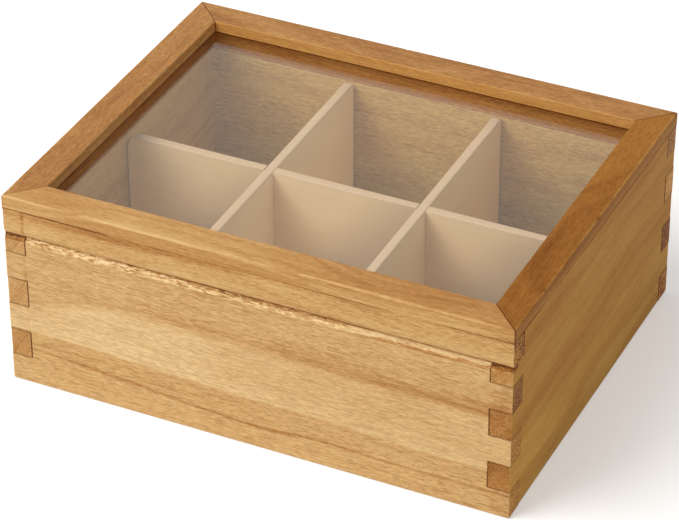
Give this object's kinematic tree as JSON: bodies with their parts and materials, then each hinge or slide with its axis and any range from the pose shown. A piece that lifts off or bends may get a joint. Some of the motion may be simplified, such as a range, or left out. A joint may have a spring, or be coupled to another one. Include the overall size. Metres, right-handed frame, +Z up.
{
  "type": "tea bag organizer box",
  "caption": "Box-jointed hardwood tea bag box with crossed dividers, and a glazed lid in a mitred frame that opens on brass butt hinges at the back.",
  "frame": {"origin": "on the surface it stands on, under the middle of the four walls", "axes": "+X to the right along the front, +Y from front to back, +Z up"},
  "size_m": [0.22, 0.1769, 0.0887],
  "materials": {
    "oiled_hardwood": "oiled, satin, long brown and golden grain bands with darker end grain at the finger joints",
    "frame_hardwood": "oiled, satin, straight grain, a little redder and darker than the walls",
    "divider_wood": "pale plain wood, sanded, matt",
    "panel_wood": "plain plywood, matt",
    "clear_glass": "clear, polished",
    "hinge_brass": "brushed, lightly tarnished",
    "screw_brass": "plain"
  },
  "bodies": {
    "box": {"front_board": "oiled_hardwood", "back_board": "oiled_hardwood", "left_board": "oiled_hardwood", "right_board": "oiled_hardwood", "bottom_panel": "panel_wood", "long_divider": "divider_wood", "short_divider_left": "divider_wood", "short_divider_right": "divider_wood", "hinge_left_box_leaf": "hinge_brass", "hinge_right_box_leaf": "hinge_brass", "hinge_left_pin": "hinge_brass", "hinge_right_pin": "hinge_brass", "box_hinge_screws": "screw_brass"},
    "lid": {"lid_front_strip": "oiled_hardwood", "lid_back_strip": "oiled_hardwood", "lid_left_strip": "oiled_hardwood", "lid_right_strip": "oiled_hardwood", "top_frame_front": "frame_hardwood", "top_frame_back": "frame_hardwood", "top_frame_left": "frame_hardwood", "top_frame_right": "frame_hardwood", "glass_pane": "clear_glass", "hinge_left_lid_leaf": "hinge_brass", "hinge_right_lid_leaf": "hinge_brass", "lid_hinge_screws": "screw_brass"}
  },
  "joints": [
    {"name": "lid_hinge", "type": "hinge", "parent": "box", "child": "lid", "pos_m": [0, 0.088, 0.0712], "axis": [-1, 0, 0], "range_deg": [0, 95]}
  ]
}
